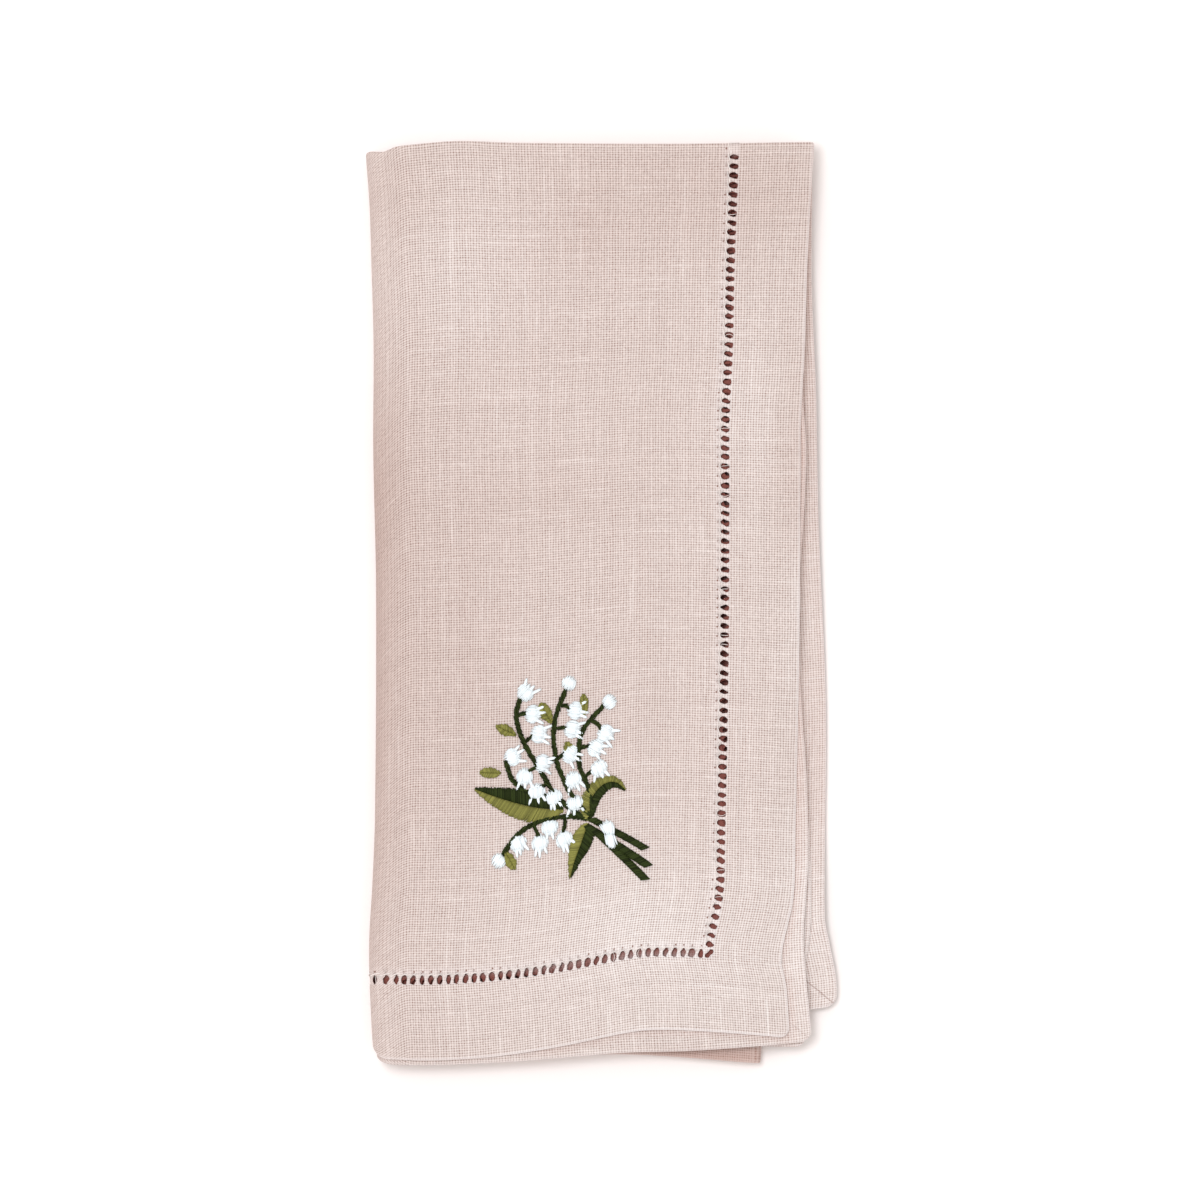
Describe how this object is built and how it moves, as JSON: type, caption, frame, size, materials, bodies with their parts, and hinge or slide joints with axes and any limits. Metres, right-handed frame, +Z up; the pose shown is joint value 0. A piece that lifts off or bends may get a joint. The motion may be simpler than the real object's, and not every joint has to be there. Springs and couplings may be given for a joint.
{
  "type": "folded cloth napkin",
  "caption": "Linen dinner napkin folded to a long rectangle, with a wide hem, a drawn-thread hemstitch border and a corner posy of bell flowers.",
  "frame": {"origin": "centre of the folded napkin's footprint, on the surface that it lies on", "axes": "+X across the folded napkin towards its open hem edges, +Y up its length towards the top fold, +Z up off the surface"},
  "size_m": [0.1342, 0.264, 0.0123],
  "materials": {
    "linen": "plain-weave linen in a pale pink beige, matt, with slubs",
    "white_thread": "white embroidery thread in satin stitch, soft sheen",
    "dark_green_thread": "dark green embroidery thread, soft sheen",
    "olive_thread": "olive embroidery thread, soft sheen"
  },
  "bodies": {
    "root": {"napkin_cloth": "linen"}
  },
  "joints": []
}
